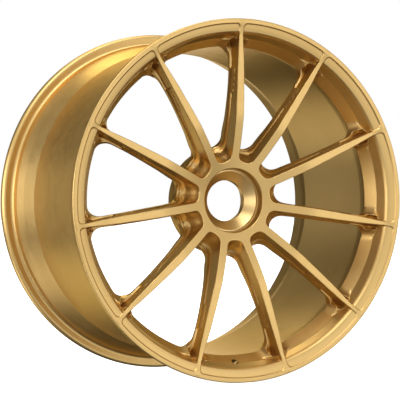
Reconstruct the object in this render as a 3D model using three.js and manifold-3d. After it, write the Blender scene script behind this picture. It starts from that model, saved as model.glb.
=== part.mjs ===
// Forged centre-lock racing wheel, 21 x 12 inch, eleven spokes. Millimetres, +Z up.
// The wheel turns about Y: -Y is the outer side, +Y the vehicle side, and the origin lies
// on the axis halfway between the two flanges. Outlines are lists of [radius, depth], where
// depth runs from the front plane of the rim towards the vehicle.
import * as THREE from "three";
import { mergeVertices } from "three/addons/utils/BufferGeometryUtils.js";
import Module from "manifold-3d";

const wasm = await Module();
wasm.setup();

// ---- driving sizes ----
const RIM_R = 284.2; // outside of the flanges: a 21 inch bead seat and 17.5 mm flanges
const FLANGE_H = 17.5; // flange over bead seat
const RIM_W = 330.8; // overall width: 12 inch between the flanges and two flange widths
const FLANGE_W = 13;
const BARREL_DROP = 32.2; // from the flanges in to the outside of the barrel
const WALL = 4.6; // barrel wall
const SPOKES = 11;
const SPOKE_W = 13; // spoke face, from the hub to two thirds of its length
const SHOULDER_W = 3.3; // how far the shoulder stands out on each side of a spoke
const GAP = 0.3; // clearance between neighbouring pieces

// ---- centre: nut seat, spigot bore and drive pins ----
const HUB_DEPTH = 33.1; // front edge of the centre bore
const COUNTER_R = 50.6; // counterbore for the centre nut
const COUNTER_LEN = 15.9;
const GROOVE = { deep: 1, at: 7, w: 2 }; // retaining groove in the counterbore
const SEAT_STEP = 1.8; // counterbore over the pressed-in nut seat ring
const SEAT_LEN = 23.4;
const SEAT_EDGE = 2; // flat front edge of the seat ring, round its cone
const CONE_LEN = 14.4; // 45 degree cone that centres the nut
const SEAT_REST = 5.3; // step behind the seat ring
const BUSH_R = 12; // drive pin bushes
const BUSH_WALL = 3.5;
const BUSH_LEN = 20;
const PINS = 5;
const PIN_WALL = 9.5; // metal between the spigot bore and the bushes
const PAD_WALL = 9.6; // metal outside the bushes
const PAD_FLOOR = 6; // metal between the nut seat ring and the bush sockets
const RELIEF = { r: 9, depth: 14 }; // lightening pockets between the drive pins

// ---- windows at the hub ----
const COUNTER_WALL = 11.4; // metal between the counterbore and the windows
const POCKET_FILLET = 8;
const STUB_LEN = 2.7; // root of each spoke that stays on the hub

// ---- valve hole ----
const VALVE = { d: 11.4, tilt: 27, in: 31.2, depth: 28.4, cut: 60 };

// ---- derived ----
const FRONT = -RIM_W / 2;
const BEAD_R = RIM_R - FLANGE_H;
const BARREL_R = RIM_R - BARREL_DROP;
const INNER_R = BARREL_R - WALL;
const SEAT_R = COUNTER_R - SEAT_STEP;
const CONE_R = SEAT_R - SEAT_EDGE;
const SEAT_BORE_R = CONE_R - CONE_LEN;
const BORE_R = SEAT_R - SEAT_REST; // spigot bore in the mounting face
const PIN_CIRCLE_R = BORE_R + PIN_WALL + BUSH_R;
const HUB_R = PIN_CIRCLE_R + BUSH_R + PAD_WALL; // widest part of the hub drum
const STUB_R = HUB_R + STUB_LEN; // cut between the hub and each spoke
const POCKET_END_R = COUNTER_R + COUNTER_WALL; // inner end of the windows in the front face
const SEAT_AT = HUB_DEPTH + COUNTER_LEN;
const SEAT_BACK = SEAT_AT + SEAT_LEN;
const MOUNT_DEPTH = SEAT_BACK + PAD_FLOOR + BUSH_LEN; // mounting face, 67 mm ahead of the middle
const PITCH = (2 * Math.PI) / SPOKES;
const AROUND = 8 * SPOKES; // facets round the rim
const HUB_AROUND = 4 * SPOKES;
const BORE_AROUND = 44;

// ---- outlines ----
// The inner face of the front lip, from the raised ring to the barrel. The spokes end on it.
const LIP_FACE = [
  [RIM_R - 6.6, 0.6],
  [RIM_R - 8.4, 2.6],
  [RIM_R - 19.3, 5.4],
  [RIM_R - 22.7, 9.1],
  [RIM_R - 28.4, 26.1],
  [RIM_R - 40.5, 45.3],
  [RIM_R - 38.2, 54],
  [INNER_R, 66],
];
const LEDGE = LIP_FACE[5]; // sharp inner edge of the sloping ledge
const LIP_END = LIP_FACE[7]; // joint of the lip and the barrel
const TAIL = 84; // joint of the barrel and the rear flange, ahead of the rear plane

// Flange and bead seat from the seat outwards; the depth is taken from the flange's own plane.
const HEEL = 6;
const NOSE = 6.5;
const FLANGE = [
  ...arc(BEAD_R + HEEL, FLANGE_W + HEEL, HEEL, Math.PI, 1.5 * Math.PI, 2),
  ...arc(RIM_R - NOSE, FLANGE_W - NOSE, NOSE, Math.PI / 2, 0, 3),
  [RIM_R, 3],
  [RIM_R - 0.9, 0.9],
  [RIM_R - 3, 0],
];

// Radius at a share of the way from the hub drum to the ledge.
const span = (share) => HUB_R + share * (LEDGE[0] - HUB_R);

// Spoke face and back over the radius.
const FACE = [
  [COUNTER_R, HUB_DEPTH],
  [POCKET_END_R, HUB_DEPTH - 4],
  [HUB_R, HUB_DEPTH - 12.3],
  [span(0.153), 14.2],
  [span(0.3), 9.4],
  [span(0.44), 8.1],
  [span(0.65), 6.5],
  [span(0.857), 5.7],
  [RIM_R - 30, 5.2],
  [RIM_R - 6, 1.2],
];
const BACK = [
  [HUB_R - 12, 72],
  [HUB_R, 67],
  [span(0.153), 59.2],
  [span(0.3), 48.4],
  [span(0.44), 42.2],
  [span(0.65), 36.4],
  [span(0.8), 35.8],
  [span(0.91), 38.8],
  [LEDGE[0], LEDGE[1] + 0.4],
  [RIM_R, LEDGE[1] + 0.4],
];
// Stations of a spoke: [radius, face half width, side depth, shoulder reach, shoulder length].
const HALF = SPOKE_W / 2;
const STATIONS = [
  [POCKET_END_R, HALF, 29, SHOULDER_W, 8],
  [HUB_R, HALF, 28, SHOULDER_W, 8],
  [span(0.153), HALF, 26.6, SHOULDER_W, 8],
  [span(0.3), HALF, 24.3, SHOULDER_W, 8],
  [span(0.44), HALF, 20.7, SHOULDER_W, 8],
  [span(0.65), 0.9 * HALF, 16.8, SHOULDER_W, 8],
  [span(0.722), 0.87 * HALF, 16, 0.9 * SHOULDER_W, 8],
  [span(0.76), 0.85 * HALF, 20, 0.2 * SHOULDER_W, 6],
  [span(0.857), 0.81 * HALF, 24, 0.3 * SHOULDER_W, 4],
  [span(0.925), 0.7 * HALF, 26, 0.8 * SHOULDER_W, 5],
  [LEDGE[0], 0.63 * HALF, 30, 1.9 * SHOULDER_W, 7],
  [RIM_R - 30, 0.56 * HALF, 30, 1.9 * SHOULDER_W, 7],
  [RIM_R - 18, 0.42 * HALF, 30, 1.9 * SHOULDER_W, 7],
  [RIM_R - 5, 0.5 * HALF, 30, 1.9 * SHOULDER_W, 7],
];
const EDGE = 1; // chamfer along the spoke faces
const BACK_EDGE = 1.6;

// ---- helpers ----
// Points of a circular arc, both ends included.
function arc(cx, cy, radius, from, to, steps) {
  return Array.from({ length: steps + 1 }, (_, i) => {
    const a = from + ((to - from) * i) / steps;
    return [cx + radius * Math.cos(a), cy + radius * Math.sin(a)];
  });
}

// The value at x of the line through sorted [x, value] pairs, level beyond its ends.
function along(pairs, x) {
  const i = pairs.findIndex(([at]) => at >= x);
  if (i === 0) return pairs[0][1];
  if (i < 0) return pairs[pairs.length - 1][1];
  const [x0, v0] = pairs[i - 1];
  const [x1, v1] = pairs[i];
  return v0 + ((v1 - v0) * (x - x0)) / (x1 - x0);
}

// An outline moved sideways to its left by d, with mitred corners.
function shifted(line, d) {
  const normal = ([x0, y0], [x1, y1]) => {
    const l = Math.hypot(x1 - x0, y1 - y0);
    return [(y0 - y1) / l, (x1 - x0) / l];
  };
  const last = line.length - 1;
  return line.map(([x, y], i) => {
    const a = normal(line[Math.max(i - 1, 0)], line[Math.max(i, 1)]);
    const b = normal(line[Math.min(i, last - 1)], line[Math.min(i + 1, last)]);
    const k = d / (1 + a[0] * b[0] + a[1] * b[1]);
    return [x + k * (a[0] + b[0]), y + k * (a[1] + b[1])];
  });
}

function signedArea(points) {
  return points.reduce((sum, [x, y], i) => {
    const [u, v] = points[(i + 1) % points.length];
    return sum + (x * v - u * y) / 2;
  }, 0);
}

function solid(geometry) {
  for (const name of ["normal", "uv"]) geometry.deleteAttribute(name);
  const g = mergeVertices(geometry, 1e-4);
  return new wasm.Manifold(
    new wasm.Mesh({
      numProp: 3,
      vertProperties: g.attributes.position.array,
      triVerts: new Uint32Array(g.index.array),
    }),
  );
}

// A ring turned about the axis from a closed outline. Its facets touch the true circle at their
// middles, and one of them faces straight down, so the wheel stands on a flat.
function ring(outline, around) {
  const half = Math.PI / around;
  const turned = signedArea(outline) > 0 ? outline : [...outline].reverse();
  const points = [...turned, turned[0]].map(
    ([r, d]) => new THREE.Vector2(r / Math.cos(half), FRONT + d),
  );
  return solid(new THREE.LatheGeometry(points, around, half));
}

// A round bar along the axis between two depths.
function bar(radius, from, to, around = BORE_AROUND) {
  const g = new THREE.CylinderGeometry(radius, radius, to - from, around);
  return solid(g.translate(0, FRONT + (from + to) / 2, 0));
}

// A plan drawn in [X, Z], given depth along the axis.
function plate(shape, from, to) {
  const g = new THREE.ExtrudeGeometry(shape, { depth: to - from, bevelEnabled: false });
  return solid(g.rotateX(Math.PI / 2).translate(0, FRONT + to, 0));
}

function turnedBy(body, angle) {
  return body.rotate([0, THREE.MathUtils.radToDeg(angle), 0]);
}

const group = new THREE.Group();
group.name = "racing_wheel";

function add(name, body, material) {
  const m = body.getMesh();
  const g = new THREE.BufferGeometry();
  g.setAttribute("position", new THREE.BufferAttribute(m.vertProperties, 3));
  g.setIndex(new THREE.BufferAttribute(m.triVerts, 1));
  const flat = g.toNonIndexed();
  flat.computeVertexNormals();
  const mesh = new THREE.Mesh(flat, material);
  mesh.name = name;
  group.add(mesh);
}

const gold = new THREE.MeshStandardMaterial({ color: 0xcdab6e, roughness: 0.36, metalness: 0.9 });
const seat = new THREE.MeshStandardMaterial({ color: 0xd2ab66, roughness: 0.25, metalness: 1 });
const steel = new THREE.MeshStandardMaterial({ color: 0x8a8c8f, roughness: 0.3, metalness: 1 });

// ---- rim: lip, barrel and rear flange ----
const SEAT_TAIL = FLANGE_W + 15; // end of the bead seat
const LIP_SWELL = 1.7; // how much thicker the wall is where the lip meets the barrel
const SWELL_LEN = 29;
const lip = ring(
  [
    ...LIP_FACE,
    [BARREL_R + LIP_SWELL, LIP_END[1]],
    [BARREL_R + LIP_SWELL + 1.3, LIP_END[1] - 8],
    [BEAD_R - 4.5, SEAT_TAIL + 9],
    [BEAD_R - 0.8, SEAT_TAIL + 5],
    [BEAD_R - 1.6, SEAT_TAIL],
    ...FLANGE,
    [LIP_FACE[0][0] + 0.6, 0],
  ],
  AROUND,
);
const valveTool = solid(new THREE.CylinderGeometry(VALVE.d / 2, VALVE.d / 2, VALVE.cut, 20))
  .rotate([-VALVE.tilt, 0, 0])
  .translate([0, FRONT + VALVE.depth, VALVE.in - RIM_R]);
add("front_lip", lip.subtract(valveTool), gold);

add(
  "barrel",
  ring(
    [
      [INNER_R, LIP_END[1] + GAP],
      [INNER_R, RIM_W - TAIL - GAP],
      [BARREL_R, RIM_W - TAIL - GAP],
      [BARREL_R, LIP_END[1] + SWELL_LEN],
      [BARREL_R + LIP_SWELL, LIP_END[1] + GAP],
    ],
    AROUND,
  ),
  gold,
);

// The depths of the rear flange are taken from the rear plane.
const tail = [
  [INNER_R, TAIL],
  [INNER_R, TAIL - 8.3],
  [INNER_R + 7.6, 47],
  [INNER_R + 12.4, 14],
  [INNER_R + 18.6, 6.4],
  [INNER_R + 24.6, 0.9],
  [INNER_R + 26.6, 0],
  ...[...FLANGE].reverse(),
  [BEAD_R - 1.9, SEAT_TAIL - 1],
  [BARREL_R + 7.6, 45.4],
  [BARREL_R, TAIL - 8],
  [BARREL_R, TAIL],
];
add("rear_flange", ring(tail.map(([r, d]) => [r, RIM_W - d]), AROUND), gold);

// ---- spokes ----
// One spoke along +Z, skinned over its stations.
function spokeBody() {
  const rows = STATIONS.map(([r, w, side, reach, slope]) => {
    const face = along(FACE, r);
    const back = along(BACK, r);
    const half = [
      [w - EDGE, face],
      [w, face + EDGE],
      [w, face + side],
      [w + reach, Math.min(face + side + slope, back - 2 * BACK_EDGE)],
      [w + reach, back - BACK_EDGE],
      [w + reach - BACK_EDGE, back],
    ];
    const left = [...half].reverse().map(([x, d]) => [-x, d]);
    return [...half, ...left].map(([x, d]) => [x, FRONT + d, r]);
  });
  const n = rows[0].length;
  const index = [];
  for (let s = 0; s + 1 < rows.length; s++) {
    for (let i = 0; i < n; i++) {
      const a = s * n + i;
      const b = s * n + ((i + 1) % n);
      index.push(a, b, b + n, a, b + n, a + n);
    }
  }
  const cap = THREE.ShapeUtils.triangulateShape(
    rows[0].map(([x, d]) => new THREE.Vector2(x, d)),
    [],
  );
  const endCap = THREE.ShapeUtils.triangulateShape(
    rows[rows.length - 1].map(([x, d]) => new THREE.Vector2(x, d)),
    [],
  );
  const end = (rows.length - 1) * n;
  for (const [a, b, c] of cap) index.push(a, c, b);
  for (const [a, b, c] of endCap) index.push(end + a, end + b, end + c);
  const g = new THREE.BufferGeometry();
  g.setAttribute("position", new THREE.Float32BufferAttribute(rows.flat(2), 3));
  g.setIndex(index);
  return solid(g);
}

const rimTool = ring(
  [
    [LIP_FACE[0][0] - GAP, -10],
    ...shifted(LIP_FACE, GAP),
    [RIM_R + 10, LIP_END[1]],
    [RIM_R + 10, -10],
  ],
  AROUND,
);
const whole = spokeBody();
const spoke = whole.subtract(rimTool).subtract(bar(STUB_R + GAP, -10, MOUNT_DEPTH, HUB_AROUND));
for (let k = 0; k < SPOKES; k++) {
  add("spoke_" + String(k + 1).padStart(2, "0"), turnedBy(spoke, k * PITCH), gold);
}

// ---- hub ----
// Plan of the front face: the roots of the spokes and the rounded inner ends of the windows.
function starPlan() {
  const centre = HALF + POCKET_FILLET;
  const up = Math.sqrt((POCKET_END_R + POCKET_FILLET) ** 2 - centre ** 2);
  const meet = Math.atan2(-up, -centre) + 2 * Math.PI;
  const right = [
    [HALF, STUB_R + 4],
    ...arc(centre, up, POCKET_FILLET, Math.PI, meet, 4),
    [POCKET_END_R * Math.sin(PITCH / 2), POCKET_END_R * Math.cos(PITCH / 2)],
  ];
  const left = right.slice(0, -1).reverse().map(([x, z]) => [-x, z]);
  const points = [];
  for (let k = 0; k < SPOKES; k++) {
    for (const [x, z] of [...left, ...right]) {
      points.push(new THREE.Vector2(x, z).rotateAround(new THREE.Vector2(), -k * PITCH));
    }
  }
  return new THREE.Shape(points);
}

const NECK_END = HUB_DEPTH + 29; // the full drum starts here, behind the stepped neck
const root = NECK_END + 1;
const star = plate(starPlan(), HUB_DEPTH - 20, root).intersect(
  ring(
    [
      [1, HUB_DEPTH],
      ...FACE.filter(([r]) => r < STUB_R),
      [STUB_R + 2, along(FACE, STUB_R + 2)],
      [STUB_R + 2, root + 10],
      [1, root + 10],
    ],
    HUB_AROUND,
  ),
);
const drum = ring(
  [
    [BORE_R - 4, HUB_DEPTH + 8],
    [POCKET_END_R - 2, HUB_DEPTH + 0.5],
    [POCKET_END_R + 4, HUB_DEPTH + 3.3],
    [HUB_R - 8.6, NECK_END - 5.8],
    [HUB_R - 3.2, NECK_END - 1],
    [HUB_R, NECK_END],
    [HUB_R - 1.8, MOUNT_DEPTH - 2.4],
    [HUB_R - 3.6, MOUNT_DEPTH],
    [BORE_R - 4, MOUNT_DEPTH],
  ],
  HUB_AROUND,
);
const stubTool = bar(STUB_R, -10, MOUNT_DEPTH, HUB_AROUND);
const stub = whole.intersect(stubTool);
const grooveAt = HUB_DEPTH + GROOVE.at;
const bore = ring(
  [
    [0, 0],
    [COUNTER_R, 0],
    [COUNTER_R, grooveAt],
    [COUNTER_R + GROOVE.deep, grooveAt],
    [COUNTER_R + GROOVE.deep, grooveAt + GROOVE.w],
    [COUNTER_R, grooveAt + GROOVE.w],
    [COUNTER_R, SEAT_AT],
    [SEAT_R + GAP, SEAT_AT],
    [SEAT_R + GAP, SEAT_BACK + GAP],
    [BORE_R, SEAT_BACK + GAP],
    [BORE_R, MOUNT_DEPTH + 10],
    [0, MOUNT_DEPTH + 10],
  ],
  HUB_AROUND,
);
let hub = drum.add(star.intersect(stubTool));
for (let k = 0; k < SPOKES; k++) hub = hub.add(turnedBy(stub, k * PITCH));
hub = hub.subtract(bore);
const pinPitch = (2 * Math.PI) / PINS;
const socket = bar(BUSH_R + GAP, MOUNT_DEPTH - BUSH_LEN - GAP, MOUNT_DEPTH + 10, 24);
const relief = bar(RELIEF.r, MOUNT_DEPTH - RELIEF.depth, MOUNT_DEPTH + 10, 20);
for (let k = 0; k < PINS; k++) {
  hub = hub.subtract(turnedBy(socket.translate([0, 0, PIN_CIRCLE_R]), k * pinPitch));
  hub = hub.subtract(turnedBy(relief.translate([0, 0, PIN_CIRCLE_R]), (k + 0.5) * pinPitch));
}
add("hub", hub, gold);

// ---- pressed-in pieces ----
add(
  "nut_seat_ring",
  ring(
    [
      [CONE_R, SEAT_AT],
      [SEAT_R, SEAT_AT],
      [SEAT_R, SEAT_BACK],
      [SEAT_BORE_R, SEAT_BACK],
      [SEAT_BORE_R, SEAT_AT + CONE_LEN],
    ],
    HUB_AROUND,
  ),
  seat,
);
const bush = bar(BUSH_R, MOUNT_DEPTH - BUSH_LEN, MOUNT_DEPTH, 24)
  .subtract(bar(BUSH_R - BUSH_WALL, MOUNT_DEPTH - BUSH_LEN - 1, MOUNT_DEPTH + 1, 20))
  .translate([0, 0, PIN_CIRCLE_R]);
for (let k = 0; k < PINS; k++) {
  add("drive_bush_" + (k + 1), turnedBy(bush, k * pinPitch), steel);
}

export default group;
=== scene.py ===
"""Forged racing wheel rim: a smooth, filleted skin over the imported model, with studio light."""
import math

import bmesh
import bpy
import numpy as np
from mathutils import Euler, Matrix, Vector


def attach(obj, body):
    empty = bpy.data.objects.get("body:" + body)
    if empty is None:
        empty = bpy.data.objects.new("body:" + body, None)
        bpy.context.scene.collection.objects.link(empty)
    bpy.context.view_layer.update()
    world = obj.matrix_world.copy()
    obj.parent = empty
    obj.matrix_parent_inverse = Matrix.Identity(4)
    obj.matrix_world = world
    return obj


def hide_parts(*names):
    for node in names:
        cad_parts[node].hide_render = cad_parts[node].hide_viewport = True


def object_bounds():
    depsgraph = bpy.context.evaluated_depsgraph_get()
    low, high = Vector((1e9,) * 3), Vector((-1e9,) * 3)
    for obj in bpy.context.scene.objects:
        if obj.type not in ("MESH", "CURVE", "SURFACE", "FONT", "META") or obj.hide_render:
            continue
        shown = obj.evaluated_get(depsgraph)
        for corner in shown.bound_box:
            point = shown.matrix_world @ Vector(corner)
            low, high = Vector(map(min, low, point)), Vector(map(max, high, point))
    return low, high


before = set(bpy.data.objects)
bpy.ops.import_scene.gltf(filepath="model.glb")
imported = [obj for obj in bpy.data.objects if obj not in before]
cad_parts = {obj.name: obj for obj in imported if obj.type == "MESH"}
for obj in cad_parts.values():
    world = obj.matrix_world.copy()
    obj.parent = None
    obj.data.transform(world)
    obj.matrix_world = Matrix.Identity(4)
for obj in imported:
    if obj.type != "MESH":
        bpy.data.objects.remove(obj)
CAD_BOX = [list(corner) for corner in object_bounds()]

# ---- sizes in millimetres, as in the part; depth runs from the front plane to the vehicle ----
RIM_R = 284.2
RIM_W = 330.8
FRONT = -RIM_W / 2
SPOKES = 11
PITCH = 2 * math.pi / SPOKES
BEAD_R = 266.7
FLANGE_W = 13.0
BARREL_R = 252.0
INNER_R = 247.4
MOUNT_D = 98.4
STUB_R = 89.3  # joint of hub and spokes
FOOT_R = 238.0  # joint of spokes and lip
LIP_D = 66.0  # joint of lip and barrel
TAIL_LEN = 84.0  # rear flange, ahead of the rear plane
TAIL_D = RIM_W - TAIL_LEN  # joint of barrel and rear flange

COUNTER_R = 50.6  # counterbore for the centre nut
SEAT_D = 49.0  # front of the nut seat ring
SEAT_BACK_D = 72.4
SEAT_R = 48.8
SEAT_BORE_R = 32.4
CONE_R = 46.8
CONE_END_D = 63.4
BORE_R = 43.5  # spigot bore
PIN_CIRCLE_R = 65.0
PINS = 5
BUSH_R = 12.0
BUSH_BORE_R = 8.5
BUSH_LEN = 20.0
SOCKET_GAP = 0.2  # round each bush
RELIEF_R = 9.0  # lightening pockets between the bushes
RELIEF_LEN = 14.0
PAD_D = 77.2  # behind it, the hub is turned round

VALVE_R = 5.7
VALVE_AT = -253.0  # height of the valve hole's middle
VALVE_SPAN = (3.0, 54.0)
VALVE_TILT = math.radians(27)

# Spokes, with their shoulders, recesses and fillets.
HUB_SIDE_R = 170.0  # inside this radius the hub shapes the forging, outside it the lip does
SHOULDER = 3.3  # how far a shoulder stands out
SHOULDER_ROUND = 12.0  # radius of its bulging front
SHOULDER_LEN = math.sqrt(SHOULDER_ROUND**2 - (SHOULDER_ROUND - SHOULDER) ** 2)
SHOULDER_STEP = 0.8  # extra width behind the shoulder near the hub
BACK_ROUND = 2.0  # edges at the back of a spoke
FACE_ROUND = 1.5  # edges round the front faces
ROOT_FILLET = 24.0  # behind a spoke where it meets the lip
WEB_FILLET = 4.0
WINDOW_FILLET = (11.5, 5.5)  # at the hub, and what it gains deeper in the window
RECESS_R = 3.7
RECESS_OUT = 3.9  # middle of a recess beside the spoke's web
RECESS_ENDS = (211.5, 251.5)
RECESS_FLOOR_FILLET = 3.5
RECESS_EDGE = 1.2
PANEL_END_R = 277.3  # outer edge of the lip panels
PANEL_CORNER = 8.0
PANEL_WALL = 1.7  # width of the slope round a panel

MM = 0.001

GOLD_DEEP = (0.555, 0.36, 0.128)
GOLD_LIGHT = (0.69, 0.475, 0.19)
GOLD_EDGE = (0.8, 0.62, 0.33)  # at grazing angles
GOLD_ROUGH = (0.34, 0.41)

# Camera: distance in metres, then its angles in degrees.
CAMERA = {"distance": 3.0876, "azimuth": 25.086, "elevation": -0.117, "roll": -0.075}
LENS = 169.67
SENSOR = 36
SHIFT = (0.00436, 0.00202)

# Studio: the surroundings glow most in front and above.
FLOOR_SIZE = 30  # half width in metres
FLOOR_GLOW = 0.97
BRIGHT_SIDE = (0, -0.75, 0.66)
GLOW = (0.03, 0.98)
# Soft lights: name, place, size, watts.
LIGHTS = (
    ("key", (-1.4, -1.4, 3.0), (1.8, 1.8), 37),
    ("front", (1.8, -3.4, 0.2), (2.0, 2.0), 10),
    ("low_front", (0.6, -2.2, -1.9), (2.4, 1.4), 6),
    ("left", (-3.2, 0.7, 0.2), (2.4, 1.6), 40),
    ("left_front", (-3.0, -1.1, 0.1), (1.4, 1.6), 18),
    ("top", (0.1, -0.3, 3.0), (1.6, 1.0), 16),
    ("low_left", (-2.3, 0.9, -1.9), (1.6, 1.4), 20),
    ("right", (3.2, -0.5, 0.2), (2.0, 1.6), 6),
    ("back_left", (-2.0, 2.9, 0.1), (1.4, 1.6), 3.5),
    ("back_right", (1.5, 2.9, 0.0), (1.4, 1.6), 14),
    ("low_back", (-1.1, 2.8, -1.5), (2.0, 1.4), 8),
    ("top_back", (0.3, 2.2, 2.4), (1.4, 1.0), 18),
)

CELL = 1.5  # spacing of the sampling grid along the radius and the depth
ACROSS = 64  # cells across one spoke pitch
DENSE_REACH = 38.0  # the lateral cells are finest within about this distance of a spoke


# ---- small maths ----
def smooth_min(a, b, k):
    h = np.maximum(k - np.abs(a - b), 0) / k
    return np.minimum(a, b) - h * h * k / 4


def smooth_max(a, b, k):
    return -smooth_min(-a, -b, k)


def step01(x):
    x = np.clip(x, 0, 1)
    return x * x * (3 - 2 * x)


class Curve:
    """A smooth line through given points, level beyond its ends."""

    def __init__(self, *points):
        x, y = np.array(points, float).T
        slope = np.gradient(y, x)
        self.x = np.arange(x[0], x[-1] + 0.5, 0.5)
        i = np.clip(np.searchsorted(x, self.x, side="right") - 1, 0, len(x) - 2)
        w = x[i + 1] - x[i]
        t = np.clip((self.x - x[i]) / w, 0, 1)
        self.y = (
            (2 * t**3 - 3 * t**2 + 1) * y[i]
            + (t**3 - 2 * t**2 + t) * w * slope[i]
            + (3 * t**2 - 2 * t**3) * y[i + 1]
            + (t**3 - t**2) * w * slope[i + 1]
        )

    def __call__(self, at):
        return np.interp(at, self.x, self.y)


def rounded(corners, arc_step=0.26):
    """Positions and outward normals along an outline with filleted corners.

    Each corner is (radius, depth, fillet), and the outline runs clockwise in (radius, depth).
    """
    n = len(corners)
    place, normal = [], []
    for i, (x, y, fillet) in enumerate(corners):
        here = np.array((x, y))
        into = here - np.array(corners[i - 1][:2])
        out = np.array(corners[(i + 1) % n][:2]) - here
        reach = min(np.linalg.norm(into), np.linalg.norm(out))
        into, out = into / np.linalg.norm(into), out / np.linalg.norm(out)
        turn = math.atan2(into[0] * out[1] - into[1] * out[0], into @ out)
        if abs(turn) < 1e-4:
            place.append(here)
            normal.append((-into[1], into[0]))
            continue
        tangent = min(fillet * math.tan(abs(turn) / 2), 0.49 * reach)
        fillet = tangent / math.tan(abs(turn) / 2)
        side = math.copysign(1, turn)
        first = np.array((-into[1], into[0]))
        centre = here - into * tangent + first * fillet * side
        steps = 1 if fillet < 0.15 else max(2, math.ceil(abs(turn) / arc_step))
        for s in range(steps + 1):
            a = turn * s / steps
            spun = np.array(
                (
                    first[0] * math.cos(a) - first[1] * math.sin(a),
                    first[0] * math.sin(a) + first[1] * math.cos(a),
                )
            )
            place.append(centre - spun * fillet * side)
            normal.append(spun)
    return np.array(place), np.array(normal)


def outline_distance(outline, r, d):
    """Signed distance to a closed outline, negative inside."""
    r, d = np.broadcast_arrays(r, d)
    best = np.full(r.shape, 1e9)
    inside = np.zeros(r.shape, bool)
    for (x0, y0), (x1, y1) in zip(outline, np.roll(outline, -1, 0)):
        ex, ey = x1 - x0, y1 - y0
        length = ex * ex + ey * ey
        if length < 1e-12:
            continue
        px, py = r - x0, d - y0
        t = np.clip((px * ex + py * ey) / length, 0, 1)
        best = np.minimum(best, (px - t * ex) ** 2 + (py - t * ey) ** 2)
        cross = (y0 <= d) != (y1 <= d)
        if abs(ey) > 1e-12:
            inside ^= cross & (px < ex * py / ey)
    return np.where(inside, -1, 1) * np.sqrt(best)


# ---- the forging as a distance field over one spoke pitch ----
# Along a spoke, by radius: depth of its face, depth of its back, half width of its web, and
# height of its straight side. PANEL is the depth of the lip panels, RECESS_FLOOR that of the recesses.
FACE = Curve(
    (48, 34.0), (50.6, 33.1), (62.5, 29.0), (84.7, 21.3), (110.6, 14.2), (133.6, 9.4), (155.6, 8.1),
    (188.3, 6.5), (221.2, 5.7), (250, 5.6), (258, 4.9), (277.6, 0.3), (279, 0), (290, 0),
)
BACK = Curve(
    (70, 73), (78, 69), (86.6, 65), (97, 61.8), (110.6, 58.8), (133.6, 48.4), (155.6, 42.2),
    (188.3, 36.4), (212, 35.6), (228, 38.6), (243.7, 45.3), (256, 50), (300, 50),
)
WEB = Curve(
    (50, 6.5), (110, 6.5), (150, 6.5), (188.3, 5.85), (221.2, 5.2), (243, 4.2), (254.1, 3.6),
    (262, 2.9), (270, 2.5), (277, 2.5),
)
SIDE = Curve(
    (50, 29), (85, 28), (110, 26.6), (132, 24.4), (154, 20.8), (176, 18.4), (190, 16.8), (205, 15.3),
    (300, 14),
)
PANEL = Curve(
    (245, 12.6), (258, 12.6), (261.5, 9.1), (264.6, 5.6), (266, 5.1), (275.6, 2.7), (277.6, 2.2),
    (290, 2.2),
)
RECESS_FLOOR = Curve((196, 28), (209, 29.5), (230, 31), (241.9, 34.5), (250, 38.5), (258, 40))

# Cross sections of the lip and hub: (radius, depth, fillet).
LIP, _ = rounded(
    [
        (267.2, -8, 0.3), (255.8, 26.1, 2.5), (243.7, 45.3, 1.0), (245.9, 54, 6), (INNER_R, 66, 12),
        (INNER_R, 90, 0.1), (252.6, 90, 0.1), (253.7, 66, 20), (255.0, 58, 12), (262.4, 37, 5),
        (266.2, 32.5, 1.6), (265.0, 28, 3), (BEAD_R, FLANGE_W, 6), (RIM_R, FLANGE_W, 6.4), (RIM_R, 0, 2.2),
        (278.6, 0, 0.1), (278.6, -8, 0.1),
    ]
)
HUB, _ = rounded(
    [
        (COUNTER_R, 20, 0.1), (COUNTER_R, 40.1, 0.3), (51.7, 40.1, 0.2), (51.7, 42.3, 0.2),
        (COUNTER_R, 42.3, 0.3), (COUNTER_R, SEAT_D, 0.4), (49.1, SEAT_D, 0.3), (49.1, 72.7, 0.3),
        (BORE_R, 72.7, 0.6), (BORE_R, 96, 0.1),
        (84.8, 96, 0.1), (84.9, 94, 1), (86.6, 62.2, 1.4), (83.6, 61.2, 0.8),
        (82.6, 58.8, 0.8), (78, 56.2, 1.4), (66, 36.4, 2.5), (62.2, 29, 3), (61.6, 20, 0.1),
    ]
)


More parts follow.
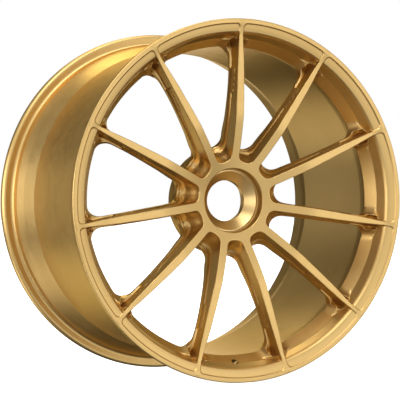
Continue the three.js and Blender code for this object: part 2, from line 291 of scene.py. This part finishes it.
def forging(x, r, d):
    """Distance to the forging at lateral distance x from the spoke's middle, radius r and depth d."""
    x = np.abs(x)
    face, back, web = np.maximum(FACE(r), 0), BACK(r), WEB(r)
    below = d - face
    side = SIDE(r)
    ahead = SHOULDER_LEN - np.clip(below - side, 0, SHOULDER_LEN)
    flank = web + np.sqrt(SHOULDER_ROUND**2 - ahead**2) - (SHOULDER_ROUND - SHOULDER)
    behind = step01((below - side - SHOULDER_LEN) / SHOULDER_STEP)
    flank = flank + SHOULDER_STEP * step01((120 - r) / 30) * behind
    body = smooth_max(x - flank, d - back, BACK_ROUND)
    outward = np.maximum(body, r - np.maximum(281 - d, 252))
    root = np.maximum(outward, (face + side - 3) - d)
    lip = outline_distance(LIP, r, d)
    hub = outline_distance(HUB, r, d)
    blend = ROOT_FILLET * step01((259 - r) / 6) * step01((47 - d) / 4) + 0.01
    outer = smooth_min(lip, root, blend)
    outer = smooth_min(outer, np.maximum(outward, x - web), WEB_FILLET)
    end = np.maximum(np.maximum(RECESS_ENDS[0] - r, r - RECESS_ENDS[1]), 0)
    recess = np.hypot(x - (web + RECESS_OUT), end) - RECESS_R
    recess = smooth_max(recess, d - RECESS_FLOOR(r), RECESS_FLOOR_FILLET)
    outer = smooth_max(outer, -recess, RECESS_EDGE)
    blend = WINDOW_FILLET[0] + WINDOW_FILLET[1] * step01((below - 4) / 16)
    blend = blend * step01((r - 55) / 6) + 0.01
    inner = smooth_min(np.maximum(body, 56 - r), hub, blend)
    whole = np.where(r > HUB_SIDE_R, outer, inner)
    plan = smooth_max(web - x, r - PANEL_END_R, PANEL_CORNER)
    top = face + (PANEL(r) - face) * step01(-plan / PANEL_WALL) * (r > 240)
    return smooth_max(whole, top - d, FACE_ROUND)


# ---- sampling grid: lateral index t, radius, depth ----
def lateral(t, r):
    """Arc distance from the spoke's middle at t from -1 to 1 over one pitch."""
    half = np.maximum(r, 1) * PITCH / 2
    dense = np.minimum(DENSE_REACH / (np.clip(r, 1, FOOT_R) * PITCH / 2), 1)
    return half * (dense * t + (1 - dense) * t**3)


RADII = np.arange(0, 170) * CELL + 40.0
DEPTHS = np.arange(0, 82) * CELL - 3.0
T = np.linspace(-1, 1, ACROSS + 1)


def local_point(index):
    """Sector-local (X, Z, depth) of fractional grid indices."""
    t = -1 + 2 * index[:, 0] / ACROSS
    r = RADII[0] + CELL * index[:, 1]
    d = DEPTHS[0] + CELL * index[:, 2]
    a = lateral(t, r) / r
    return np.stack([r * np.sin(a), r * np.cos(a), d], 1)


def distance(p):
    r = np.hypot(p[:, 0], p[:, 1])
    return forging(p[:, 0], r, p[:, 2])


def gradient(p, h):
    g = np.empty_like(p)
    for axis in range(3):
        step = np.zeros(3)
        step[axis] = h
        g[:, axis] = (distance(p + step) - distance(p - step)) / (2 * h)
    return g


def sector_net():
    """One pitch of the forging as points, quads and each quad corner's sector shift."""
    t, r, d = T[:, None, None], RADII[None, :, None], DEPTHS[None, None, :]
    a = lateral(t, r) / r
    value = forging(r * np.sin(a) + 0 * d, r + 0 * d, d)
    inside = value < 0
    cells = tuple(n - 1 for n in value.shape)
    total, count = np.zeros(cells + (3,)), np.zeros(cells)
    crossings = []
    for axis in range(3):
        lo = [slice(None)] * 3
        hi = [slice(None)] * 3
        lo[axis], hi[axis] = slice(None, -1), slice(1, None)
        a0, a1 = value[tuple(lo)], value[tuple(hi)]
        cross = (a0 < 0) != (a1 < 0)
        where = np.argwhere(cross)
        v0, v1 = a0[cross], a1[cross]
        point = where.astype(float)
        point[:, axis] += v0 / (v0 - v1)
        crossings.append((where, v0 < 0))
        others = [k for k in range(3) if k != axis]
        for i in (0, -1):
            for j in (0, -1):
                cell = where.copy()
                cell[:, others[0]] += i
                cell[:, others[1]] += j
                ok = ((cell >= 0) & (cell < cells)).all(1)
                at = tuple(cell[ok].T)
                np.add.at(total, at, point[ok])
                np.add.at(count, at, 1)
    used = count > 0
    number = np.full(cells, -1)
    number[used] = np.arange(used.sum())
    index = total[used] / count[used][:, None]
    # A cell cut by the pitch's own edge planes also counts crossings seen from the next pitch.
    quads, shifts = [], []
    for axis, (where, solid_first) in enumerate(crossings):
        u, v = [(1, 2), (2, 0), (0, 1)][axis]
        corners, moved = [], []
        for i, j in ((0, 0), (-1, 0), (-1, -1), (0, -1)):
            cell = where.copy()
            cell[:, u] += i
            cell[:, v] += j
            shift = np.where(cell[:, 0] < 0, -1, 0)
            cell[:, 0] %= ACROSS
            corners.append(cell)
            moved.append(shift)
        keep = where[:, 0] < ACROSS
        for c in corners:
            keep &= ((c >= 0) & (c < cells)).all(1)
        made = np.stack([number[tuple(np.where(keep[:, None], c, 0).T)] for c in corners], 1)
        shift = np.stack(moved, 1)
        keep &= (made >= 0).all(1)
        made[solid_first] = made[solid_first][:, ::-1]
        shift[solid_first] = shift[solid_first][:, ::-1]
        quads.append(made[keep])
        shifts.append(shift[keep])
    points = local_point(index)
    for _ in range(4):
        f = distance(points)
        g = gradient(points, 0.04)
        step = f[:, None] * g / np.maximum((g * g).sum(1, keepdims=True), 0.05)
        size = np.linalg.norm(step, axis=1, keepdims=True)
        points = points - step * np.minimum(1, 0.5 * CELL / np.maximum(size, 1e-9))
    normals = gradient(points, 0.12)
    normals /= np.linalg.norm(normals, axis=1, keepdims=True)
    return points, normals, np.concatenate(quads), np.concatenate(shifts), index


def turned(p, angle):
    """Sector-local (X, Z, depth) rows as world (X, Y, Z) in metres, turned clockwise from the top."""
    c, s = np.cos(angle), np.sin(angle)
    x = p[:, 0] * c + p[:, 1] * s
    z = -p[:, 0] * s + p[:, 1] * c
    return np.stack([x, p[:, 2], z], 1)


def to_world(p, angle):
    w = turned(p, angle)
    w[:, 1] += FRONT
    return w * MM


def make_mesh(name, verts, faces, normals=None):
    """An object from arrays; faces are equal-length rows or a list of index lists."""
    mesh = bpy.data.meshes.new(name)
    mesh.vertices.add(len(verts))
    mesh.vertices.foreach_set("co", np.asarray(verts, np.float32).ravel())
    faces = [np.asarray(f) for f in faces]
    rows = np.concatenate([f.ravel() for f in faces])
    starts, at = [], 0
    for f in faces:
        n = f.shape[1]
        starts.append(at + np.arange(len(f)) * n)
        at += f.size
    mesh.loops.add(len(rows))
    mesh.loops.foreach_set("vertex_index", rows.astype(np.int32))
    starts = np.concatenate(starts)
    mesh.polygons.add(len(starts))
    mesh.polygons.foreach_set("loop_start", starts.astype(np.int32))
    mesh.update(calc_edges=True)
    mesh.validate()
    mesh.shade_smooth()
    if normals is not None:
        mesh.normals_split_custom_set_from_vertices(np.asarray(normals, np.float32))
    obj = bpy.data.objects.new(name, mesh)
    bpy.context.scene.collection.objects.link(obj)
    return obj


def compact(faces, *arrays):
    """Keeps only the vertices that the faces use."""
    used, inverse = np.unique(faces, return_inverse=True)
    return inverse.reshape(faces.shape), used, *(a[used] for a in arrays)


def boundary_loops(faces):
    """Ordered vertex loops round the open edges, each running against the faces."""
    edge = np.concatenate([faces[:, [i, (i + 1) % 4]] for i in range(4)])
    open_edges = {tuple(e) for e in edge} - {(b, a) for a, b in edge.tolist()}
    onward = {b: a for a, b in open_edges if (b, a) not in open_edges}
    loops = []
    while onward:
        start = next(iter(onward))
        loop, at = [], start
        while at in onward:
            loop.append(at)
            at = onward.pop(at)
        loops.append(loop)
    return loops


# ---- pieces ----
def lathe(name, corners, angles, centre=(0, 0)):
    """A closed outline of (radius, depth, fillet) turned about an axis along Y.

    It has vertices at the given angles, so that neighbours on one joint share them.
    """
    profile, normals = rounded(corners)
    n, m = len(profile), len(angles)
    sin, cos = np.sin(angles)[:, None], np.cos(angles)[:, None]
    r, d = profile[:, 0][None], profile[:, 1][None]
    x, z = centre[0] + r * sin, centre[1] + r * cos
    verts = np.stack([x, np.broadcast_to(FRONT + d, (m, n)), z], 2).reshape(-1, 3)
    nr, nd = normals[:, 0][None], normals[:, 1][None]
    norm = np.stack([nr * sin, np.broadcast_to(nd, (m, n)), nr * cos], 2).reshape(-1, 3)
    i, j = np.meshgrid(np.arange(m), np.arange(n), indexing="ij")
    a, b = i * n + j, i * n + (j + 1) % n
    c, e = ((i + 1) % m) * n + (j + 1) % n, ((i + 1) % m) * n + j
    faces = np.stack([a, b, c, e], 2).reshape(-1, 4)
    return make_mesh(name, verts * MM, [faces], norm)


def even(count):
    """Angles evenly spaced round a circle."""
    return np.arange(count) * 2 * math.pi / count


# One pitch of the forging, and where each of its faces lies.
points, point_normals, quads, shifts, index = sector_net()
corner = points[quads[:, 0]]
face_side = np.cross(points[quads[:, 1]] - corner, points[quads[:, 3]] - corner)
within = (shifts == 0).all(1)
agree = (face_side * point_normals[quads[:, 0]]).sum(1)[within]
if np.median(agree) > 0:  # (X, Z, depth) is left-handed against the world's (X, Y, Z)
    quads, shifts = quads[:, ::-1], shifts[:, ::-1]
quad_r = RADII[0] + CELL * index[quads, 1].mean(1)
quad_d = DEPTHS[0] + CELL * index[quads, 2].mean(1)


def cut_line(value, lines):
    """The grid's nearest row boundary to a value."""
    return lines[np.argmin(abs(lines + CELL / 2 - value))] + CELL / 2


stub_r, foot_r = cut_line(STUB_R, RADII), cut_line(FOOT_R, RADII)
lip_d, pad_d = cut_line(LIP_D, DEPTHS), cut_line(PAD_D, DEPTHS)


def wheel_part(keep):
    """The kept quads of all pitches as world points, normals and faces."""
    verts = np.concatenate([to_world(points, k * PITCH) for k in range(SPOKES)])
    norms = np.concatenate([turned(point_normals, k * PITCH) for k in range(SPOKES)])
    pitch = [(k + shifts[keep]) % SPOKES for k in range(SPOKES)]
    rows = np.concatenate([at * len(points) + quads[keep] for at in pitch])
    rows, _, verts, norms = compact(rows, verts, norms)
    return verts, norms, rows


def close_up(verts, rows):
    """Faces that close the open loops, and the loops that run round the axis.

    A small loop gets one face, and two loops round the axis get a ring of quads between them.
    """
    faces = [rows]
    big = []
    for loop in boundary_loops(rows):
        if len(loop) == SPOKES * ACROSS:
            big.append(loop)
        else:
            faces.append(np.array(loop)[None])
    if big:
        big.sort(key=lambda l: np.hypot(verts[l[0], 0], verts[l[0], 2]))
        ordered = []
        for loop in big:
            angle = np.arctan2(verts[loop, 0], verts[loop, 2])
            ordered.append(np.array(loop)[np.argsort(angle)])
        a, b = ordered
        faces.append(np.stack([a, b, np.roll(b, -1), np.roll(a, -1)], 1))
    return faces, big


pieces = {}
spoke_keep = (quad_r > stub_r) & (quad_r < foot_r)
spoke_rows, _, spoke_points, spoke_normals = compact(quads[spoke_keep], points, point_normals)
spoke_faces, _ = close_up(spoke_points, spoke_rows)
for k in range(SPOKES):
    name = f"spoke_{k + 1:02d}"
    angle = k * PITCH
    skin = to_world(spoke_points, angle)
    pieces[name] = make_mesh("skin_" + name, skin, spoke_faces, turned(spoke_normals, angle))

lip_verts, lip_normals, lip_rows = wheel_part((quad_r > foot_r) & (quad_d < lip_d))
lip_faces, lip_rings = close_up(lip_verts, lip_rows)
pieces["front_lip"] = make_mesh("skin_front_lip", lip_verts, lip_faces, lip_normals)

hub_verts, hub_normals, hub_rows = wheel_part((quad_r < stub_r) & (quad_d < pad_d))
hub_faces, hub_rings = close_up(hub_verts, hub_rows)
pieces["hub"] = make_mesh("skin_hub", hub_verts, hub_faces, hub_normals)


def ring_place(verts, loop):
    """Mean (radius, depth) of a loop round the axis, in millimetres."""
    p = verts[loop] / MM
    return float(np.hypot(p[:, 0], p[:, 2]).mean()), float(p[:, 1].mean() - FRONT)


mid = (T[:-1] + T[1:]) / 2
rim_steps = lateral(mid, FOOT_R) / FOOT_R
hub_steps = lateral(mid, 60.0) / 60.0
rim_angles = np.concatenate([k * PITCH + rim_steps for k in range(SPOKES)])
hub_angles = np.concatenate([k * PITCH + hub_steps for k in range(SPOKES)])
lip_in, lip_out = [ring_place(lip_verts, l) for l in lip_rings]
hub_in, hub_out = [ring_place(hub_verts, l) for l in hub_rings]

pieces["barrel"] = lathe(
    "skin_barrel",
    [
        (*lip_in, 0.02), (INNER_R, 75, 20), (INNER_R, TAIL_D, 0.02), (BARREL_R, TAIL_D, 0.02),
        (BARREL_R, 95, 30), (252.9, 78, 20), (*lip_out, 0.02),
    ],
    rim_angles,
)
# Rear flange, with the depth taken from the rear plane.
tail = [
    (INNER_R, TAIL_LEN, 0.02), (INNER_R, 75.7, 1.5), (254.6, 50, 10), (259.6, 14, 8), (266, 6.4, 4),
    (272.6, 0, 3),
    (RIM_R, 0, 2.2), (RIM_R, FLANGE_W, 6.4), (BEAD_R, FLANGE_W, 6), (264.8, 27, 3), (259.6, 45.4, 1.2),
    (BARREL_R, 76, 20), (BARREL_R, TAIL_LEN, 0.02),
]
pieces["rear_flange"] = lathe(
    "skin_rear_flange",
    [(r, RIM_W - q, fillet) for r, q, fillet in tail],
    rim_angles,
)
pad = lathe(
    "skin_hub_pad",
    [
        (*hub_in, 0.02), (BORE_R, MOUNT_D, 0.9), (83, MOUNT_D, 0.8), (84.8, 96, 1.0), (*hub_out, 0.02),
    ],
    hub_angles,
)
pieces["nut_seat_ring"] = lathe(
    "skin_nut_seat_ring",
    [
        (SEAT_BORE_R, CONE_END_D, 1.0), (SEAT_BORE_R, SEAT_BACK_D, 0.5), (SEAT_R, SEAT_BACK_D, 0.4),
        (SEAT_R, SEAT_D, 0.4), (CONE_R, SEAT_D, 0.5),
    ],
    even(180),
)


def drill(target, radius, depth_from, depth_to, x, z, tilt=0.0):
    """Cuts a round hole along Y, or tilted from it in the plane through the axis."""
    bm = bmesh.new()
    bmesh.ops.create_cone(
        bm, cap_ends=True, segments=64, radius1=radius * MM, radius2=radius * MM,
        depth=(depth_to - depth_from) * MM,
    )
    mesh = bpy.data.meshes.new("tool")
    bm.to_mesh(mesh)
    bm.free()
    tool = bpy.data.objects.new("tool", mesh)
    bpy.context.scene.collection.objects.link(tool)
    tool.rotation_euler = Euler((math.pi / 2 - tilt, 0, 0))
    tool.location = Vector((x, FRONT + (depth_from + depth_to) / 2, z)) * MM
    bpy.context.view_layer.update()
    cut = target.modifiers.new("cut", "BOOLEAN")
    cut.operation = "DIFFERENCE"
    cut.solver = "MANIFOLD"
    cut.object = tool
    dg = bpy.context.evaluated_depsgraph_get()
    done = bpy.data.meshes.new_from_object(target.evaluated_get(dg))
    target.modifiers.clear()
    target.data = done
    bpy.data.objects.remove(tool)


def on_pin_circle(turn):
    """(X, Z) on the drive pin circle, counted in pins from the top."""
    angle = 2 * math.pi * turn / PINS
    return PIN_CIRCLE_R * math.sin(angle), PIN_CIRCLE_R * math.cos(angle)


socket_d = MOUNT_D - BUSH_LEN - SOCKET_GAP
for k in range(PINS):
    drill(pad, BUSH_R + SOCKET_GAP, socket_d, MOUNT_D + 5, *on_pin_circle(k))
    drill(pad, RELIEF_R, MOUNT_D - RELIEF_LEN, MOUNT_D + 5, *on_pin_circle(k + 0.5))
    pieces[f"drive_bush_{k + 1}"] = lathe(
        f"skin_drive_bush_{k + 1}",
        [
            (BUSH_BORE_R, MOUNT_D - BUSH_LEN, 0.5), (BUSH_BORE_R, MOUNT_D, 1.2), (BUSH_R, MOUNT_D, 0.5),
            (BUSH_R, MOUNT_D - BUSH_LEN, 0.5),
        ],
        even(72),
        centre=on_pin_circle(k),
    )
drill(pieces["front_lip"], VALVE_R, *VALVE_SPAN, 0, VALVE_AT, tilt=VALVE_TILT)


# ---- materials ----
class Nodes:
    """A short way to build a node material: add nodes, link sockets."""

    def __init__(self, name):
        self.material = bpy.data.materials.new(name)
        self.material.use_nodes = True
        self.tree = self.material.node_tree
        self.shader = self.tree.nodes["Principled BSDF"]

    def add(self, kind, **values):
        node = self.tree.nodes.new(kind)
        for key, value in values.items():
            if hasattr(node, key):
                setattr(node, key, value)
            else:
                node.inputs[key.replace("_", " ")].default_value = value
        return node

    def link(self, source, socket, target, into):
        self.tree.links.new(source.outputs[socket], target.inputs[into])

    def noise(self, where, scale, detail=3.0, rough=0.55):
        node = self.add("ShaderNodeTexNoise", Scale=scale, Detail=detail, Roughness=rough)
        self.link(where, "Object", node, "Vector")
        return node

    def span(self, source, socket, low, high, to_low, to_high):
        node = self.add("ShaderNodeMapRange")
        for key, value in zip(("From Min", "From Max", "To Min", "To Max"), (low, high, to_low, to_high)):
            node.inputs[key].default_value = value
        self.link(source, socket, node, "Value")
        return node


def blend_colour(n, factor, socket, a, b):
    """A ramp between two colours by a factor."""
    node = n.add("ShaderNodeValToRGB")
    node.color_ramp.elements[0].color = (*a, 1)
    node.color_ramp.elements[1].color = (*b, 1)
    n.link(factor, socket, node, "Fac")
    return node


def satin_gold():
    """Metallic gold paint: fine flake, slow tone drift, faint dust and a slight peel."""
    n = Nodes("gold_paint")
    where = n.add("ShaderNodeTexCoord")
    drift = n.noise(where, 7.0, 4.0)
    flake = n.noise(where, 2600.0, 2.0, 0.7)
    peel = n.noise(where, 420.0, 2.0)
    dust = n.noise(where, 55.0, 6.0, 0.7)
    tone = n.add("ShaderNodeMath", operation="MULTIPLY_ADD")
    tone.inputs[1].default_value = 0.55
    n.link(flake, "Fac", tone, 0)
    half = n.add("ShaderNodeMath", operation="MULTIPLY")
    half.inputs[1].default_value = 0.45
    n.link(drift, "Fac", half, 0)
    n.link(half, "Value", tone, 2)
    colour = blend_colour(n, tone, "Value", GOLD_DEEP, GOLD_LIGHT)
    colour.color_ramp.elements[0].position = 0.3
    colour.color_ramp.elements[1].position = 0.7
    n.link(colour, "Color", n.shader, "Base Color")
    rough = n.span(dust, "Fac", 0.3, 0.7, *GOLD_ROUGH)
    n.link(rough, "Result", n.shader, "Roughness")
    bump = n.add("ShaderNodeBump", Strength=0.05, Distance=0.0004)
    n.link(peel, "Fac", bump, "Height")
    grain = n.add("ShaderNodeBump", Strength=0.06, Distance=0.0001)
    n.link(flake, "Fac", grain, "Height")
    n.link(bump, "Normal", grain, "Normal")
    n.link(grain, "Normal", n.shader, "Normal")
    n.shader.inputs["Metallic"].default_value = 1.0
    n.shader.inputs["Specular Tint"].default_value = (*GOLD_EDGE, 1)
    return n.material


def turned_metal(name, dark, light, rough_low, rough_high):
    """Lathe-turned metal: fine rings across the depth and a faint colour drift."""
    n = Nodes(name)
    where = n.add("ShaderNodeTexCoord")
    stretch = n.add("ShaderNodeMapping")
    stretch.inputs["Scale"].default_value = (1, 60, 1)
    n.link(where, "Object", stretch, "Vector")
    rings = n.add("ShaderNodeTexNoise", Scale=45.0, Detail=4.0, Roughness=0.6)
    n.link(stretch, "Vector", rings, "Vector")
    drift = n.noise(where, 30.0)
    colour = blend_colour(n, drift, "Fac", dark, light)
    n.link(colour, "Color", n.shader, "Base Color")
    rough = n.span(rings, "Fac", 0.3, 0.7, rough_low, rough_high)
    n.link(rough, "Result", n.shader, "Roughness")
    bump = n.add("ShaderNodeBump", Strength=0.12, Distance=0.0001)
    n.link(rings, "Fac", bump, "Height")
    n.link(bump, "Normal", n.shader, "Normal")
    n.shader.inputs["Metallic"].default_value = 1.0
    n.shader.inputs["Specular Tint"].default_value = (*light, 1)
    return n.material


gold = satin_gold()
seat = turned_metal("seat_gold", (0.62, 0.43, 0.18), (0.72, 0.52, 0.235), 0.28, 0.38)
steel = turned_metal("bush_steel", (0.38, 0.38, 0.39), (0.5, 0.5, 0.51), 0.22, 0.36)


def dress(obj, material):
    obj.data.materials.clear()
    obj.data.materials.append(material)
    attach(obj, "root")


for name, obj in pieces.items():
    if name.startswith("drive"):
        dress(obj, steel)
    elif name.startswith("nut"):
        dress(obj, seat)
    else:
        dress(obj, gold)
    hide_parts(name)
dress(pad, gold)

# ---- stage ----
def area_light(name, place, size, power, target=(0, 0, 0)):
    data = bpy.data.lights.new(name, "AREA")
    data.shape = "RECTANGLE"
    data.size, data.size_y = size
    data.energy = power
    obj = bpy.data.objects.new(name, data)
    bpy.context.scene.collection.objects.link(obj)
    obj.location = place
    obj.rotation_euler = (Vector(target) - Vector(place)).to_track_quat("-Z", "Y").to_euler()
    return obj


mesh = bpy.data.meshes.new("floor")
corners = [(x * FLOOR_SIZE, y * FLOOR_SIZE, 0) for x, y in ((-1, -1), (1, -1), (1, 1), (-1, 1))]
mesh.from_pydata(corners, [], [(0, 1, 2, 3)])
floor = bpy.data.objects.new("floor", mesh)
bpy.context.scene.collection.objects.link(floor)
floor.location.z = CAD_BOX[0][2]
floor.visible_glossy = False
floor.visible_diffuse = False
floor.visible_shadow = False
floor_paint = bpy.data.materials.new("floor")
floor_paint.use_nodes = True
fb = floor_paint.node_tree.nodes["Principled BSDF"]
fb.inputs["Base Color"].default_value = (0.9, 0.9, 0.9, 1)
fb.inputs["Roughness"].default_value = 0.9
fb.inputs["Emission Color"].default_value = (1, 1, 1, 1)
fb.inputs["Emission Strength"].default_value = FLOOR_GLOW
mesh.materials.append(floor_paint)

world = bpy.data.worlds.new("studio")
bpy.context.scene.world = world
world.use_nodes = True
wt = world.node_tree
background = wt.nodes["Background"]
background.inputs["Color"].default_value = (1, 1, 1, 1)
where = wt.nodes.new("ShaderNodeTexCoord")
toward = wt.nodes.new("ShaderNodeVectorMath")
toward.operation = "DOT_PRODUCT"
toward.inputs[1].default_value = BRIGHT_SIDE
glow = wt.nodes.new("ShaderNodeMapRange")
glow.interpolation_type = "SMOOTHSTEP"
glow.inputs["From Min"].default_value = -0.8
glow.inputs["From Max"].default_value = 0.9
glow.inputs["To Min"].default_value, glow.inputs["To Max"].default_value = GLOW
seen = wt.nodes.new("ShaderNodeLightPath")
pick = wt.nodes.new("ShaderNodeMix")
pick.inputs["B"].default_value = 1.0
wt.links.new(where.outputs["Generated"], toward.inputs[0])
wt.links.new(toward.outputs["Value"], glow.inputs["Value"])
wt.links.new(seen.outputs["Is Camera Ray"], pick.inputs["Factor"])
wt.links.new(glow.outputs["Result"], pick.inputs["A"])
wt.links.new(pick.outputs[0], background.inputs["Strength"])
for light in LIGHTS:
    area_light(*light)
bpy.context.scene.view_settings.view_transform = "Standard"

azimuth, elevation, roll = (math.radians(CAMERA[key]) for key in ("azimuth", "elevation", "roll"))
cam_data = bpy.data.cameras.new("camera")
cam = bpy.data.objects.new("camera", cam_data)
bpy.context.scene.collection.objects.link(cam)
back_dir = Vector(
    (-math.sin(azimuth) * math.cos(elevation), -math.cos(azimuth) * math.cos(elevation), math.sin(elevation))
)
cam.location = back_dir * CAMERA["distance"]
cam.rotation_mode = "QUATERNION"
look = (-back_dir).to_track_quat("-Z", "Y")
cam.rotation_quaternion = look @ Euler((0, 0, roll)).to_quaternion()
cam_data.sensor_width = SENSOR
cam_data.lens = LENS
cam_data.shift_x, cam_data.shift_y = SHIFT
bpy.context.scene.camera = cam

bpy.context.view_layer.update()
